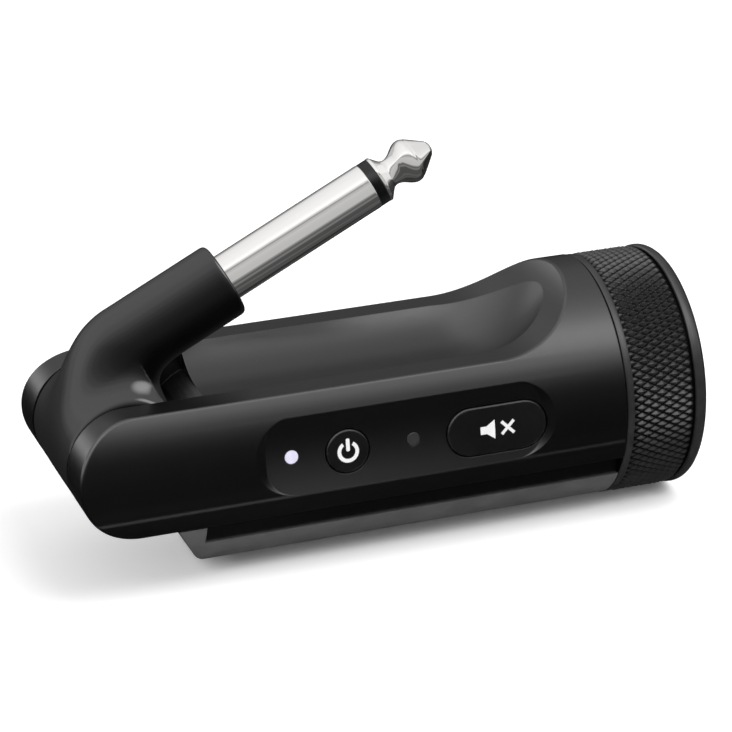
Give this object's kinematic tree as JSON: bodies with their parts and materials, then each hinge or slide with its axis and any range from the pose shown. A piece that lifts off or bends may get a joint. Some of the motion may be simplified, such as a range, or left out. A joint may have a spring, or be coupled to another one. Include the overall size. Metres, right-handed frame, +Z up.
{
  "type": "wireless instrument transmitter",
  "caption": "Wireless instrument transmitter with a folding jack plug, a cradle for the folded plug, power and mute buttons, status lamps and a knurled grip.",
  "frame": {"origin": "centre of the flat face under the base rail, midway along the object's standing face, on the body's centre plane", "axes": "+X from the plug hinge towards the knurled grip, along the body; +Z up, away from the flat face; the button panel faces -Y"},
  "size_m": [0.0861, 0.033, 0.0531],
  "materials": {
    "shell_black": "soft satin",
    "rail_black": "satin",
    "arm_rubber": "matt soft touch",
    "button_black": "satin",
    "icon_white": "matt print",
    "lamp_lit": "clear, lit",
    "lamp_off": "smoked",
    "grip_black": "black anodised, knurled",
    "gasket_rubber": "matt",
    "plug_nickel": "polished",
    "insulator_black": "moulded",
    "steel": "turned",
    "screw_steel": "blackened",
    "contact_gold": "plated",
    "board_green": "solder mask",
    "cell_wrap": "film",
    "foam_grey": "foam",
    "washer_white": "acetal"
  },
  "bodies": {
    "body": {"housing_shell": "shell_black", "base_rail": "rail_black", "base_screws": "screw_steel", "grip_ring": "grip_black", "seam_gasket": "gasket_rubber", "end_cap": "shell_black", "usb_shell": "steel", "usb_tongue": "contact_gold", "usb_board": "board_green", "power_switch": "steel", "power_lamp_lens": "lamp_lit", "mute_switch": "steel", "mute_lamp_lens": "lamp_off", "status_leds": "washer_white", "main_board": "board_green", "board_screws": "steel", "rf_shield": "steel", "antenna_block": "washer_white", "battery_cell": "cell_wrap", "battery_pad": "foam_grey", "hinge_axle": "steel", "axle_cap": "shell_black"},
    "plug_arm": {"swivel_arm": "arm_rubber", "plug_sleeve": "plug_nickel", "plug_insulator": "insulator_black", "plug_tip": "plug_nickel", "friction_washers": "washer_white"},
    "power_key": {"power_button": "button_black", "power_icon": "icon_white", "power_plunger": "washer_white"},
    "mute_key": {"mute_button": "button_black", "mute_icon": "icon_white", "mute_plunger": "washer_white"}
  },
  "joints": [
    {"name": "plug_fold", "type": "hinge", "parent": "body", "child": "plug_arm", "pos_m": [-0.038, 0, 0.01785], "axis": [0, -1, 0], "range_deg": [-26, 153.8]},
    {"name": "power_press", "type": "slide", "parent": "body", "child": "power_key", "axis": [0, 0.996, -0.0889], "range_m": [0, 0.0003], "stiffness_N_per_m": 40},
    {"name": "mute_press", "type": "slide", "parent": "body", "child": "mute_key", "axis": [0, 0.996, -0.0889], "range_m": [0, 0.0003], "stiffness_N_per_m": 40}
  ]
}
